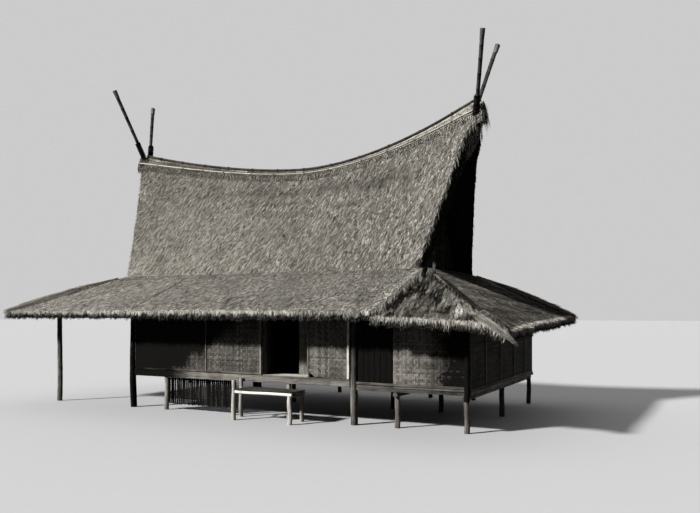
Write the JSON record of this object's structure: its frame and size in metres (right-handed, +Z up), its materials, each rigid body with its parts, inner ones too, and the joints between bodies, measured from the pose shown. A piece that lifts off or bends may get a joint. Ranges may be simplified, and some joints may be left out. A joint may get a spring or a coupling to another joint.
{
  "type": "thatched sundanese house on stilts",
  "caption": "House on stilts with a steep saddle-backed thatch roof, crossed pole horns, low eaves, woven bamboo walls, an open doorway and a hinged plank door.",
  "frame": {"origin": "centre of the plan, on the ground", "axes": "+X along the ridge towards the annex with the plank door, +Y to the back, +Z up; the doorway faces -Y"},
  "size_m": [13.961, 7.24, 9.2712],
  "materials": {
    "thatch": "weathered grass thatch",
    "ridge_thatch": "darker weathered thatch",
    "woven_bamboo": "weathered plaited bamboo",
    "dark_weave": "smoke-darkened plaited bamboo",
    "timber": "weathered round timber",
    "bamboo": "weathered bamboo pole",
    "plank": "dark weathered boards"
  },
  "bodies": {
    "house": {"upper_roof_front": "thatch", "upper_roof_back": "thatch", "lower_roof_front": "thatch", "lower_roof_corner": "thatch", "lower_roof_back": "thatch", "lower_roof_left": "thatch", "lower_roof_right": "thatch", "ridge_cap": "ridge_thatch", "ridge_pole_top": "bamboo", "ridge_pole_front": "bamboo", "ridge_pole_back": "bamboo", "horn_right_front": "bamboo", "horn_right_back": "bamboo", "horn_left_front": "bamboo", "horn_left_back": "bamboo", "annex_back_wall": "woven_bamboo", "annex_bearer_left": "timber", "annex_bearer_right": "timber", "annex_front_wall": "woven_bamboo", "back_wall": "woven_bamboo", "bay_frame_left": "timber", "bearer_back": "timber", "bearer_middle": "timber", "corner_pole_front_right": "timber", "corner_post_back_left": "timber", "corner_post_front_left": "timber", "door_lintel": "timber", "door_sill": "timber", "floor_annex": "timber", "floor_main": "timber", "floor_screen": "plank", "front_panel": "woven_bamboo", "front_sill": "plank", "front_wall_left": "woven_bamboo", "gable_left": "dark_weave", "gable_right": "dark_weave", "left_wall": "woven_bamboo", "middle_post_front": "timber", "plate_annex_back": "timber", "plate_annex_front": "timber", "plate_back": "timber", "plate_front": "timber", "purlin_back": "timber", "purlin_front": "timber", "recess_lintel": "timber", "recess_side_left": "woven_bamboo", "recess_side_right": "woven_bamboo", "recess_wall": "woven_bamboo", "right_wall": "woven_bamboo", "step_frame": "bamboo", "step_top": "bamboo"},
    "door": {"annex_door": "plank"}
  },
  "joints": [
    {"name": "annex_door_hinge", "type": "hinge", "parent": "house", "child": "door", "pos_m": [3.518, -2.78, 0.974], "axis": [0, 0, 1], "range_deg": [0, 90]}
  ]
}
